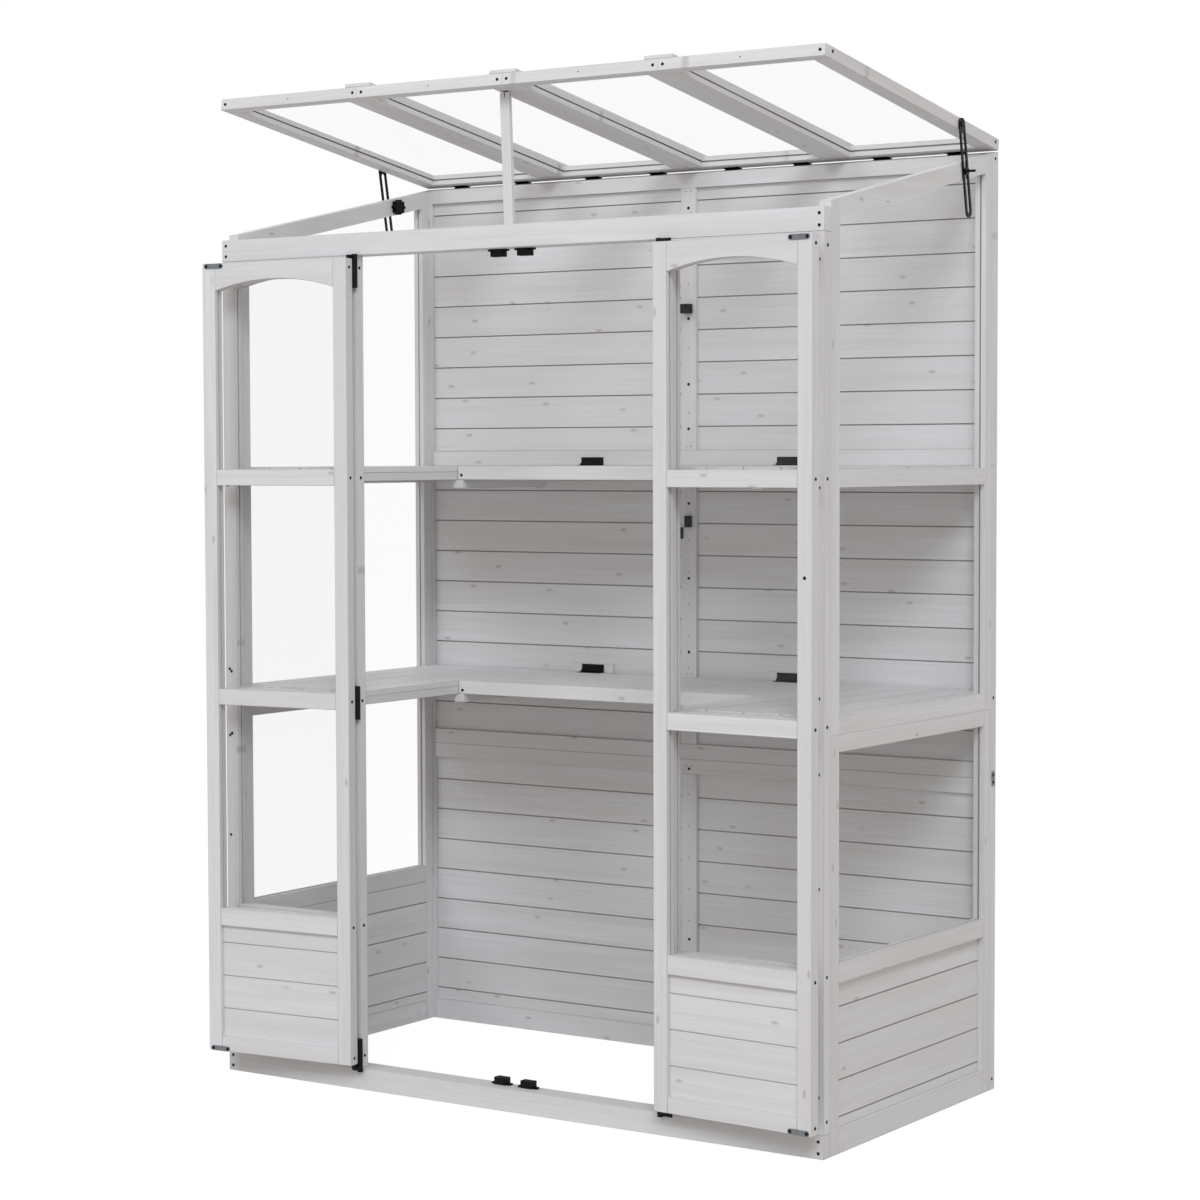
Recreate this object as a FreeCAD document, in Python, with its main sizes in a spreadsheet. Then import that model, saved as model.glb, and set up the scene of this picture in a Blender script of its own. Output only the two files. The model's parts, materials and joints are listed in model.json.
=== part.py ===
import FreeCAD, Part
import math
import os
from types import SimpleNamespace

# A white wooden mini greenhouse: two hinged doors between two fixed front panels, glazed side walls,
# a boarded back wall, shelves on two levels and a hinged glazed lid held open by two slotted stays.
# +X is to the right, +Y to the back and +Z up. The origin is on the ground under the front bottom
# rail, in the middle of the width. Millimetres and degrees.

SIZES = [
    ("width", 1440, "overall width of the walls"),
    ("depth", 716, "front face to back face of the walls"),
    ("front_reach", 15, "front face before the origin"),
    ("front_height", 1750, "top of the front top rail"),
    ("eaves_height", 1757, "roof plane above the front face"),
    ("back_height", 1909, "top of the back wall at its back face"),
    ("timber", 24, "thickness of doors, front panels and side walls"),
    ("back_timber", 27, "thickness of the back wall"),
    ("rail_height", 45, "height of bottom rails and the front top rail"),
    ("rail_depth", 50, "depth of the front rails between the side walls"),
    ("panel_width", 356, "width of a fixed front panel"),
    ("door_width", 356, "width of a door"),
    ("door_gap", 7, "gap above a door"),
    ("door_foot_gap", 10, "gap below a door"),
    ("hinge_gap", 4, "gap between a door and its fixed panel"),
    ("stile_width", 32, "width of the stiles of doors and front panels"),
    ("panel_foot_top", 84, "top of a front panel's lowest rail"),
    ("foot_rail_height", 32, "height of a door's lowest rail"),
    ("low_rail_bottom", 320, "underside of the rail above the boards"),
    ("low_rail_height", 37, "height of the rail above the boards"),
    ("middle_rail_bottom", 783, "underside of the middle window rail"),
    ("high_rail_bottom", 1239, "underside of the high window rail"),
    ("cross_rail_height", 33, "height of the middle and high rails"),
    ("arch_rail_height", 36, "height of the arched rail at its crown"),
    ("arch_rise", 21, "rise of the arch over the pane"),
    ("side_front_stile", 34, "width of the side walls' front stiles"),
    ("side_back_stile", 28, "width of the side walls' back stiles"),
    ("slope_rail_height", 36, "height of the sloped rails and the back top rail, measured upright"),
    ("back_stile_width", 30, "width of the back wall's corner stiles"),
    ("back_rail_height", 33, "height of the back wall's joint rails"),
    ("lower_joint_height", 640, "joint between the lower and middle back panels"),
    ("upper_joint_height", 1277, "joint between the middle and upper back panels"),
    ("batten_width", 38, "width of the back wall's centre battens"),
    ("batten_depth", 8, "thickness of the battens, in front of the back wall's boards"),
    ("board_pitch", 69.3, "height of one board"),
    ("front_first_board", 58.9, "height of the lowest board in doors and front panels"),
    ("side_first_board", 20, "height of the lowest board in the side walls"),
    ("lower_first_board", 27, "height of the lowest board in the back wall's lower panel"),
    ("middle_first_board", 63.8, "height of the lowest board in the back wall's middle panel"),
    ("upper_first_board", 52, "height of the lowest board in the back wall's upper panel"),
    ("board_thickness", 12, "thickness of wall boards"),
    ("door_board_thickness", 9, "thickness of boards in doors and front panels"),
    ("board_line", 1.6, "height of the line between boards"),
    ("board_line_depth", 2.5, "depth of the line between boards"),
    ("pane_thickness", 3, "thickness of the clear panes"),
    ("pane_groove", 6, "depth of the groove that holds a pane"),
    ("lower_shelf_top", 819, "top of the lower shelves"),
    ("upper_shelf_top", 1277, "top of the upper shelves"),
    ("side_shelf_width", 324, "width of a side shelf"),
    ("back_shelf_depth", 337, "front to back of a folding back shelf"),
    ("shelf_board_thickness", 12, "thickness of shelf boards"),
    ("apron_height", 29, "height of a shelf's front edge, boards included"),
    ("apron_thickness", 18, "thickness of a shelf's front edge"),
    ("shelf_line", 2, "gap between shelf boards"),
    ("shelf_clearance", 1, "gap between a folding shelf and the side shelves"),
    ("cleat_width", 26, "width of the cleats that carry the folding shelves"),
    ("cleat_height", 18, "height of the cleats that carry the folding shelves"),
    ("cleat_reach", 15, "how far a cleat reaches under a folding shelf"),
    ("cleat_stop", 24, "gap between a cleat's end and the back wall"),
    ("shelf_hinge_offset", 250, "shelf hinge from the middle"),
    ("shelf_hinge_width", 58, "width of a shelf hinge"),
    ("shelf_leaf_height", 15, "height of a shelf hinge leaf"),
    ("shelf_knuckle_radius", 3, "outer radius of a shelf hinge knuckle"),
    ("hinge_block_width", 106, "width of the blocks behind the lower shelf hinges"),
    ("hinge_block_height", 20, "height of the blocks behind the lower shelf hinges"),
    ("catch_width", 20, "width of the upper shelf catch"),
    ("catch_height", 20, "height of the upper shelf catch"),
    ("catch_depth", 20, "how far the upper shelf catch stands off the wall"),
    ("lower_catch_width", 12, "width of the lower shelf catch"),
    ("lower_catch_height", 25, "height of the lower shelf catch"),
    ("lower_catch_depth", 12, "how far the lower shelf catch stands off the wall"),
    ("lower_catch_offset", 2, "lower shelf catch to the right of the middle"),
    ("keeper_width", 10, "width of the lower catch's keeper"),
    ("keeper_height", 25, "height of the lower catch's keeper"),
    ("keeper_depth", 4, "thickness of the lower catch's keeper"),
    ("keeper_offset", 19, "lower catch's keeper to the left of the middle"),
    ("leaf_thickness", 1.5, "thickness of every hinge leaf"),
    ("door_hinge_height", 68, "height of a door hinge"),
    ("door_knuckle_radius", 5.5, "outer radius of a door hinge knuckle"),
    ("door_leaf_depth", 24, "depth of a door hinge leaf"),
    ("left_strap_length", 7, "length of the straps on the left door's ends"),
    ("right_strap_length", 20, "length of the straps on the right door's ends"),
    ("strap_width", 12, "width of the strap on a door's end"),
    ("strap_height", 6.5, "height of the strap on a door's top"),
    ("foot_strap_height", 8, "height of the strap under a door"),
    ("knuckle_stand_off", 0.2, "gap between a door knuckle and the faces"),
    ("left_pin_offset", 2, "left door's hinge pins from the panel's edge, towards the door"),
    ("right_pin_offset", -2.7, "right door's hinge pins from the panel's edge, towards the door"),
    ("middle_hinge_height", 797, "middle of the middle door hinge"),
    ("door_hinge_reach", 9, "how far the top hinge passes the door's top"),
    ("door_foot_hinge_reach", 17, "how far the bottom hinge passes the door's foot"),
    ("pin_radius", 1.5, "radius of the hinge pins"),
    ("pin_clearance", 0.05, "radial clearance of a hinge pin"),
    ("running_gap", 0.3, "gap between parts that move past each other"),
    ("leaf_gap", 0.4, "gap between the two leaves of a shut lid hinge"),
    ("left_door_angle", 175, "left door's angle from shut"),
    ("right_door_angle", 176.5, "right door's angle from shut"),
    ("magnet_width", 28, "width of a magnetic catch body"),
    ("magnet_ears", 45, "width of a magnetic catch over its ears"),
    ("magnet_depth", 17, "depth of a magnetic catch"),
    ("magnet_height", 15, "height of a magnetic catch"),
    ("magnet_ear", 4, "thickness of a magnetic catch's ears"),
    ("magnet_ear_depth", 10, "depth of a magnetic catch's ears"),
    ("magnet_offset", 32, "magnetic catch from the middle"),
    ("strike_width", 47, "length of a strike plate"),
    ("strike_height", 10.5, "height of a strike plate"),
    ("strike_thickness", 1, "thickness of a strike plate"),
    ("strike_inset", 5, "strike plate from the door's free edge"),
    ("lid_angle", 20.7, "lid's angle from shut"),
    ("lid_length", 724, "length of the lid along its slope"),
    ("lid_lift", 0.4, "lid's underside above its hinge pins"),
    ("lid_thickness", 23, "thickness of the lid panels"),
    ("lid_side_member", 36, "width of the lid's members that run up the slope"),
    ("lid_front_member", 24, "width of the lid's front members"),
    ("lid_back_member", 31, "width of the lid's back members"),
    ("lid_pane_height", 10, "pane above the lid's underside"),
    ("cover_strip_width", 64, "width of the strips over the lid seams"),
    ("cover_strip_thickness", 7.5, "thickness of the strips over the lid seams"),
    ("lid_knuckle_radius", 3, "outer radius of a lid hinge knuckle"),
    ("lid_hinge_width", 40, "width of a lid hinge"),
    ("lid_hinge_offset", 85, "lid hinge from the middle of its panel"),
    ("lid_leaf_length", 15, "length of a lid hinge leaf"),
    ("stay_length", 196, "overall length of a lid stay"),
    ("stay_width", 24, "width of a lid stay"),
    ("stay_thickness", 3, "thickness of a lid stay"),
    ("stay_head", 28, "solid length at the top of a lid stay"),
    ("stay_foot", 8, "solid length at the bottom of a lid stay"),
    ("stay_slot_width", 12, "width of the slot in a lid stay"),
    ("stay_gap", 1, "gap between a stay and the side wall"),
    ("stay_pivot_reach", 177, "stay pivot from the lid hinge"),
    ("stay_pivot_radius", 3, "radius of a stay pivot"),
    ("bolt_radius", 2.5, "radius of a stay bolt"),
    ("bolt_reach", 153, "stay bolt in front of the back wall's rear face"),
    ("bolt_drop", 19, "stay bolt under the top of the sloped rail"),
    ("bolt_end", 20, "bolt beyond the stay"),
    ("knob_radius", 13, "radius of a stay knob under its lobes"),
    ("knob_lobe_radius", 4, "radius of a stay knob's lobes"),
    ("knob_thickness", 14, "thickness of a stay knob"),
    ("nut_width", 16, "diameter of the washer outside a stay"),
    ("prop_width", 22, "width of the prop"),
    ("prop_thickness", 9, "thickness of the prop"),
    ("prop_offset", 21, "prop from the middle, to the left"),
    ("prop_setback", 44.5, "prop pivot behind the front face"),
    ("prop_length", 286, "length of the prop"),
    ("prop_lean_angle", 2.8, "prop's lean, its foot towards the back"),
    ("prop_top_gap", 2.5, "gap between the prop's top and the lid"),
    ("tongue_thickness", 2, "thickness of the tongue that carries the prop"),
    ("pivot_head_thickness", 1.5, "thickness of a stay pivot's head"),
    ("screw_radius", 3, "radius of a screw head"),
    ("screw_height", 0.8, "height of a screw head"),
    ("screw_inset", 11, "front screws from the edges"),
    ("screw_spacing", 22, "between the two front screws of a rail"),
    ("head_screw_drop", 15, "highest screw in the back wall's end, under the top"),
    ("strip_screw_rise", 70, "front panel screws from the rails beside them"),
    ("low_pane_screw", 502, "height of the front panel screw beside the low pane"),
    ("top_strip_screw_drop", 51, "highest front panel screw under the top rail"),
    ("plate_length", 30, "length of a joining plate"),
    ("plate_width", 12, "width of a joining plate"),
]


class Size:
    """A length or an angle: the text FreeCAD binds to, and what it is worth now."""

    def __init__(self, text, value):
        self.text = text
        self.value = float(value)

    def joined(self, sign, other, value):
        return Size(f"({self.text} {sign} {size(other).text})", value)

    def __add__(self, other):
        return self.joined("+", other, self.value + size(other).value)

    def __radd__(self, other):
        return size(other) + self

    def __sub__(self, other):
        return self.joined("-", other, self.value - size(other).value)

    def __rsub__(self, other):
        return size(other) - self

    def __mul__(self, other):
        return self.joined("*", other, self.value * size(other).value)

    def __rmul__(self, other):
        return size(other) * self

    def __truediv__(self, other):
        return self.joined("/", other, self.value / size(other).value)

    def __neg__(self):
        return Size(f"(0 - {self.text})", -self.value)


def size(value):
    """A Size as it is, or a plain number as a Size."""
    return value if isinstance(value, Size) else Size(f"({value:.6g})", value)


def angle_of(rise, run):
    """The slope of a rise over a run, in degrees."""
    ratio = size(rise) / size(run)
    return Size(f"atan({ratio.text})", math.degrees(math.atan(ratio.value)))


def sine(angle):
    return Size(f"sin({angle.text})", math.sin(math.radians(angle.value)))


def cosine(angle):
    return Size(f"cos({angle.text})", math.cos(math.radians(angle.value)))


def smaller(first, second):
    """The smaller of two sizes."""
    return Size(f"min({first.text}; {second.text})", min(first.value, second.value))


doc = FreeCAD.newDocument("MiniGreenhouse")
sheet = doc.addObject("Spreadsheet::Sheet", "Sizes")
for row, (alias, number, meaning) in enumerate(SIZES, start=1):
    sheet.set(f"A{row}", alias)
    sheet.set(f"B{row}", str(number))
    sheet.set(f"C{row}", meaning)
    sheet.setAlias(f"B{row}", alias)
doc.recompute()
s = SimpleNamespace(**{alias: Size(f"Sizes.{alias}", sheet.get(alias)) for alias, _, _ in SIZES})

# Planes that several pieces share.
FRONT = -s.front_reach
WALL_START = FRONT + s.timber
BACK = FRONT + s.depth
WALL_END = BACK - s.back_timber
OUTER = s.width / 2
INNER = OUTER - s.timber
TOP_RAIL_BOTTOM = s.front_height - s.rail_height
SLOPE = angle_of(s.back_height - s.eaves_height, s.depth)
X_AXIS, Y_AXIS, Z_AXIS = (1, 0, 0), (0, 1, 0), (0, 0, 1)
SIDES = (("left", -1), ("right", 1))
SUB_PARTS = []


def vector_text(point):
    return "vector(" + "; ".join(size(value).text for value in point) + ")"


def placement_text(base=(0, 0, 0), axis=Z_AXIS, angle=0, centre=(0, 0, 0)):
    """The expression of a placement: a move, and a turn about an axis through a centre."""
    turn = f"rotation({vector_text(axis)}; {size(angle).text})"
    return f"placement({vector_text(base)}; {turn}; {vector_text(centre)})"


def box(name, corner, lengths):
    """A straight piece from its lowest corner, with its lengths along X, Y and Z."""
    piece = doc.addObject("Part::Box", name)
    for side, length in zip(("Length", "Width", "Height"), lengths):
        piece.setExpression(side, size(length).text)
    piece.setExpression("Placement", placement_text(corner))
    return piece


AXIS_TURNS = {"x": (Y_AXIS, 90), "y": (X_AXIS, -90), "z": (Z_AXIS, 0)}


def cylinder(name, start, axis, radius, length):
    """A round piece that runs from its start along +X, +Y or +Z."""
    piece = doc.addObject("Part::Cylinder", name)
    piece.setExpression("Radius", size(radius).text)
    piece.setExpression("Height", size(length).text)
    turn_axis, turn = AXIS_TURNS[axis]
    spin = f"placement({vector_text(start)}; rotation({vector_text(turn_axis)}; {turn}))"
    piece.setExpression("Placement", spin)
    return piece


def cut(name, base, *tools):
    """A piece with each tool cut out of it in turn."""
    for number, tool in enumerate(tools, start=1):
        piece = doc.addObject("Part::Cut", f"{name}_{number}")
        piece.Base = base
        piece.Tool = tool
        base = piece
    return base


def fuse(name, pieces):
    """One piece from several that touch or overlap."""
    piece = doc.addObject("Part::MultiFuse", name)
    piece.Shapes = pieces
    return piece


def common(name, first, second):
    piece = doc.addObject("Part::MultiCommon", name)
    piece.Shapes = [first, second]
    return piece


def sub_part(label, pieces, placement=None):
    """A named sub-part of one or more separate solids."""
    part = doc.addObject("Part::Compound", label)
    part.Label = label
    part.Links = pieces
    if placement:
        part.setExpression("Placement", placement)
    SUB_PARTS.append(part)
    return part


def roof_cutter(name, drop):
    """All that lies above the roof slope, or above a plane that much below it."""
    piece = box(name, (0, 0, 0), (s.width + s.depth, s.depth * 2, s.front_height))
    base = (-(s.width + s.depth) / 2, FRONT, s.eaves_height - drop)
    piece.setExpression("Placement", placement_text(base, X_AXIS, SLOPE))
    return piece


roof_space = roof_cutter("roof_space", 0)
rail_space = roof_cutter("rail_space", s.slope_rail_height)
groove_space = roof_cutter("groove_space", s.slope_rail_height - s.pane_groove)


def boards(name, along, start, length, face, thickness, bottom, top, first):
    """Level boards from bottom to top, each with a fine line along its top edge on both faces.

    along is x or y, start and length run that way, and face is the nearer face across it."""
    count = math.ceil((top.value - bottom.value - size(first).value) / s.board_pitch.value) + 1
    pieces = []
    for number in range(count):
        low = bottom if number == 0 else bottom + first + (number - 1) * s.board_pitch
        high = smaller(bottom + first + number * s.board_pitch, top)
        corner = (start, face, low) if along == "x" else (face, start, low)
        lengths = (length, thickness, high - low) if along == "x" else (thickness, length, high - low)
        board = box(f"{name}_{number + 1}", corner, lengths)
        if number < count - 1:
            lines = []
            for side, offset in (("near", 0), ("far", thickness - s.board_line_depth)):
                at = (start, face + offset) if along == "x" else (face + offset, start)
                run = (length, s.board_line_depth) if along == "x" else (s.board_line_depth, length)
                lines.append(box(f"{name}_{number + 1}_{side}_line", (*at, high - s.board_line),
                                 (*run, s.board_line)))
            board = cut(f"{name}_{number + 1}_lined", board, *lines)
        pieces.append(board)
    return pieces


def screw(name, point, axis, sign=-1):
    """A screw head that lies on a face at a point, on the side that sign gives along the axis."""
    x, y, z = point
    shift = -s.screw_height if sign < 0 else 0
    start = {"x": (x + shift, y, z), "y": (x, y + shift, z), "z": (x, y, z + shift)}[axis]
    return cylinder(name, start, axis, s.screw_radius, s.screw_height)


def front_rails():
    """The two rails that cross the whole front, rebated at their ends over the side walls."""
    for label, bottom in (("front_bottom_rail", size(0)), ("front_top_rail", TOP_RAIL_BOTTOM)):
        rail = box(f"{label}_bar", (-OUTER, FRONT, bottom), (s.width, s.rail_depth, s.rail_height))
        rebates = []
        for side, sign in SIDES:
            start = -OUTER if sign < 0 else INNER
            rebates.append(box(f"{label}_{side}_rebate", (start, WALL_START, bottom),
                               (s.timber, s.rail_depth - s.timber, s.rail_height)))
        sub_part(label, [cut(label + "_rebated", rail, *rebates)])


def glazed_leaf(name, start, width, face, thickness, bottom, top, foot_top):
    """A tall leaf: two stiles, boards at its foot, three panes and an arched top rail.

    Returns its frame members, its boards and its panes."""
    inside = start + s.stile_width
    opening = width - 2 * s.stile_width
    crown = top - s.arch_rail_height
    spring = crown - s.arch_rise
    low_top = s.low_rail_bottom + s.low_rail_height
    middle_top = s.middle_rail_bottom + s.cross_rail_height
    high_top = s.high_rail_bottom + s.cross_rail_height
    pane_face = face + (thickness - s.pane_thickness) / 2
    panes = []
    for row, (low, high) in (("low", (low_top, s.middle_rail_bottom)),
                             ("middle", (middle_top, s.high_rail_bottom)), ("high", (high_top, crown))):
        panes.append(box(f"{name}_{row}_pane", (inside - s.pane_groove, pane_face, low - s.pane_groove),
                         (opening + 2 * s.pane_groove, s.pane_thickness, high - low + 2 * s.pane_groove)))

    half_span = opening / 2
    arch_radius = (half_span * half_span + s.arch_rise * s.arch_rise) / (2 * s.arch_rise)
    arch_blank = box(f"{name}_arch_blank", (inside, face, spring), (opening, thickness, top - spring))
    arch_round = cylinder(f"{name}_arch_round", (inside + half_span, face, crown - arch_radius), "y",
                          arch_radius, thickness)
    rails = [
        ("foot_rail", bottom, foot_top),
        ("low_rail", s.low_rail_bottom, low_top),
        ("middle_rail", s.middle_rail_bottom, middle_top),
        ("high_rail", s.high_rail_bottom, high_top),
    ]
    members = []
    for side, x in (("left", start), ("right", inside + opening)):
        stile = box(f"{name}_{side}_stile", (x, face, bottom), (s.stile_width, thickness, top - bottom))
        members.append(cut(f"{name}_{side}_stile_grooved", stile, *panes))
    for rail, low, high in rails:
        bar = box(f"{name}_{rail}", (inside, face, low), (opening, thickness, high - low))
        touching = {"foot_rail": [], "low_rail": panes[:1], "middle_rail": panes[:2],
                    "high_rail": panes[1:]}[rail]
        members.append(cut(f"{name}_{rail}_grooved", bar, *touching))
    members.append(cut(f"{name}_arch_rail", arch_blank, arch_round, panes[2]))

    board_face = face + (thickness - s.door_board_thickness) / 2
    planks = boards(f"{name}_board", "x", inside, opening, board_face, s.door_board_thickness,
                    foot_top, s.low_rail_bottom, s.front_first_board)
    return members, planks, panes


def front_panels():
    """The two fixed panels, one at each end of the front."""
    all_boards, all_panes = [], []
    for side, sign in SIDES:
        start = -OUTER if sign < 0 else OUTER - s.panel_width
        members, planks, panes = glazed_leaf(f"{side}_panel", start, s.panel_width, FRONT, s.timber,
                                             s.rail_height, TOP_RAIL_BOTTOM, s.panel_foot_top)
        sub_part(f"{side}_front_panel_frame", members)
        all_boards += planks
        all_panes += panes
    sub_part("front_panel_boards", all_boards)
    sub_part("front_panel_panes", all_panes)


def side_walls():
    """Two side walls, each a lower and an upper framed panel, the upper one cut to the roof slope."""
    all_boards, all_panes = [], []
    run = WALL_END - WALL_START
    clear = run - s.side_front_stile - s.side_back_stile
    inside = WALL_START + s.side_front_stile
    joint = s.middle_rail_bottom
    low_top = s.low_rail_bottom + s.low_rail_height
    upper_foot_top = joint + s.cross_rail_height
    high_top = s.high_rail_bottom + s.cross_rail_height
    pane_inset = (s.timber - s.pane_thickness) / 2
    for side, sign in SIDES:
        face = -OUTER if sign < 0 else INNER

        def pane(row, low, high):
            corner = (face + pane_inset, inside - s.pane_groove, low - s.pane_groove)
            return box(f"{side}_{row}_pane", corner,
                       (s.pane_thickness, clear + 2 * s.pane_groove, high - low + 2 * s.pane_groove))

        low_pane = pane("side_low", low_top, joint - s.cross_rail_height)
        middle_pane = pane("side_middle", upper_foot_top, s.high_rail_bottom)
        high_pane = cut(f"{side}_side_high_pane", pane("side_high_blank", high_top, s.back_height),
                        groove_space)

        def bar(name, low, high, *panes):
            piece = box(f"{side}_side_{name}", (face, inside, low), (s.timber, clear, high - low))
            return cut(f"{side}_side_{name}_grooved", piece, *panes)

        def stile(name, start, width, low, high, *tools):
            piece = box(f"{side}_side_{name}", (face, start, low), (s.timber, width, high - low))
            return cut(f"{side}_side_{name}_grooved", piece, *tools)

        front_side = (WALL_START, s.side_front_stile)
        back_side = (WALL_END - s.side_back_stile, s.side_back_stile)
        lower = [
            stile("lower_front_stile", *front_side, size(0), joint, low_pane),
            stile("lower_back_stile", *back_side, size(0), joint, low_pane),
            bar("bottom_rail", size(0), s.rail_height),
            bar("low_rail", s.low_rail_bottom, low_top, low_pane),
            bar("lower_top_rail", joint - s.cross_rail_height, joint, low_pane),
        ]
        sub_part(f"{side}_side_lower_frame", lower)
        slope_blank = box(f"{side}_slope_blank", (face, inside, high_top),
                          (s.timber, clear, s.back_height - high_top))
        slope_rail = common(f"{side}_slope_bar", cut(f"{side}_slope_cut", slope_blank, roof_space),
                            rail_space)
        upper = [
            stile("upper_front_stile", *front_side, joint, s.back_height, roof_space, middle_pane,
                  high_pane),
            stile("upper_back_stile", *back_side, joint, s.back_height, roof_space, middle_pane,
                  high_pane),
            bar("upper_foot_rail", joint, upper_foot_top, middle_pane),
            bar("high_rail", s.high_rail_bottom, high_top, middle_pane, high_pane),
            cut(f"{side}_slope_rail", slope_rail, high_pane, bolt_hole(side)),
        ]
        sub_part(f"{side}_side_upper_frame", upper)
        board_face = -INNER - s.board_thickness if sign < 0 else INNER
        all_boards += boards(f"{side}_side_board", "y", inside, clear, board_face, s.board_thickness,
                             s.rail_height, s.low_rail_bottom, s.side_first_board)
        all_panes += [low_pane, middle_pane, high_pane]
    sub_part("side_wall_boards", all_boards)
    sub_part("side_wall_panes", all_panes)


def bolt_point():
    """Where the stay bolts pass through the sloped rails: their Y and Z."""
    roof_height = s.back_height - s.bolt_reach * (s.back_height - s.eaves_height) / s.depth
    return FRONT + s.depth - s.bolt_reach, roof_height - s.bolt_drop


def bolt_hole(side):
    y, z = bolt_point()
    start = -OUTER if side == "left" else INNER
    return cylinder(f"{side}_bolt_hole", (start, y, z), "x", s.bolt_radius + s.running_gap, s.timber)


def back_wall():
    """Three boarded panels, one above the other, each with a batten down its middle."""
    inside = -OUTER + s.back_stile_width
    clear = s.width - 2 * s.back_stile_width
    tiers = (
        ("lower", size(0), s.rail_height, s.lower_joint_height - s.back_rail_height, s.lower_joint_height,
         s.lower_first_board),
        ("middle", s.lower_joint_height, s.lower_joint_height + s.back_rail_height,
         s.upper_joint_height - s.back_rail_height, s.upper_joint_height, s.middle_first_board),
        ("upper", s.upper_joint_height, s.upper_joint_height + s.back_rail_height,
         s.back_height - s.slope_rail_height, s.back_height, s.upper_first_board),
    )
    for tier, foot, low, high, head, first in tiers:
        name = f"back_wall_{tier}"
        tools = [roof_space] if tier == "upper" else []
        members = []
        for side, sign in SIDES:
            start = -OUTER if sign < 0 else OUTER - s.back_stile_width
            stile = box(f"{name}_{side}_stile", (start, WALL_END, foot),
                        (s.back_stile_width, s.back_timber, head - foot))
            members.append(cut(f"{name}_{side}_stile_cut", stile, *tools))
        members.append(box(f"{name}_foot_rail", (inside, WALL_END, foot),
                           (clear, s.back_timber, low - foot)))
        top_rail = box(f"{name}_top_rail", (inside, WALL_END, high), (clear, s.back_timber, head - high))
        pockets = [wall_leaf_pockets()] if tier == "upper" else []
        members.append(cut(f"{name}_top_rail_cut", top_rail, *tools, *pockets))
        members.append(box(f"{name}_batten", (-s.batten_width / 2, WALL_END, low),
                           (s.batten_width, s.batten_depth, high - low)))
        sub_part(f"{name}_frame", members)
        sub_part(f"{name}_boards", boards(f"{name}_board", "x", inside, clear, WALL_END + s.batten_depth,
                                          s.board_thickness, low, high, first))


SHELF_LEVELS = (("lower", s.lower_shelf_top), ("upper", s.upper_shelf_top))
SHELF_EDGE = INNER - s.side_shelf_width
BACK_SHELF_HALF = SHELF_EDGE - s.shelf_clearance
BACK_SHELF_START = WALL_END - s.back_shelf_depth
SHELF_BOARDS = 4


def side_shelves():
    """A fixed shelf of boards along each side wall on both levels, with cleats under its inner edge."""
    cleats = []
    run = WALL_END - WALL_START
    for level, top in SHELF_LEVELS:
        for side, sign in SIDES:
            name = f"{side}_{level}_shelf"
            edge = -SHELF_EDGE - s.apron_thickness if sign < 0 else SHELF_EDGE
            wall = -INNER if sign < 0 else INNER - s.apron_thickness
            under = top - s.apron_height
            rim_height = s.apron_height - s.shelf_board_thickness
            pieces = [
                box(f"{name}_apron", (edge, WALL_START, under), (s.apron_thickness, run, rim_height)),
                box(f"{name}_wall_bar", (wall, WALL_START, under), (s.apron_thickness, run, rim_height)),
            ]
            width = (s.side_shelf_width - (SHELF_BOARDS - 1) * s.shelf_line) / SHELF_BOARDS
            start = -INNER if sign < 0 else SHELF_EDGE
            for number in range(SHELF_BOARDS):
                at = start + number * (width + s.shelf_line)
                pieces.append(box(f"{name}_board_{number + 1}",
                                  (at, WALL_START, top - s.shelf_board_thickness),
                                  (width, run, s.shelf_board_thickness)))
            between = s.side_shelf_width - 2 * s.apron_thickness
            inner_start = -INNER + s.apron_thickness if sign < 0 else SHELF_EDGE + s.apron_thickness
            for place, y in (("front", WALL_START), ("back", WALL_END - s.apron_thickness)):
                pieces.append(box(f"{name}_{place}_bar", (inner_start, y, under),
                                  (between, s.apron_thickness, rim_height)))
            sub_part(name, pieces)
            reach = SHELF_EDGE - s.cleat_reach
            cleat_start = -reach - s.cleat_width if sign < 0 else reach
            cleats.append(box(f"{name}_cleat", (cleat_start, BACK_SHELF_START, under - s.cleat_height),
                              (s.cleat_width, s.back_shelf_depth - s.cleat_stop, s.cleat_height)))
    return cleats


def fold_axis(top):
    """The Y and Z of a folding shelf's hinge pins."""
    return WALL_END - s.shelf_knuckle_radius - s.running_gap, top + s.shelf_knuckle_radius + s.running_gap


def hinge(name, centre, axis, radius, length, fixed_plate, moving_plate):
    """A butt hinge: its fixed leaf with the outer barrels, its moving leaf with the middle one, its pin."""
    index = "xyz".index(axis)
    third = length / 3

    def along(label, start_share, part_length, part_radius, trim=0):
        start = list(centre)
        start[index] = centre[index] - length / 2 + start_share * third + trim
        return cylinder(f"{name}_{label}", start, axis, part_radius, part_length - 2 * trim)

    lower = along("lower_barrel", 0, third, radius)
    middle = along("middle_barrel", 1, third, radius, s.running_gap)
    upper = along("upper_barrel", 2, third, radius)
    loose = radius + s.running_gap
    fixed_blank = cut(f"{name}_fixed_plate", fixed_plate, along("middle_relief", 1, third, loose))
    moving_blank = cut(f"{name}_moving_plate", moving_plate,
                       along("lower_relief", 0, third, loose, -s.running_gap),
                       along("upper_relief", 2, third, loose, -s.running_gap))
    bore = along("bore", 0, length, s.pin_radius + s.pin_clearance)
    fixed_leaf = cut(f"{name}_fixed_leaf", fuse(f"{name}_fixed", [fixed_blank, lower, upper]), bore)
    moving_leaf = cut(f"{name}_moving_leaf", fuse(f"{name}_moving", [moving_blank, middle]), bore)
    return fixed_leaf, moving_leaf, along("pin", 0, length, s.pin_radius)


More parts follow.
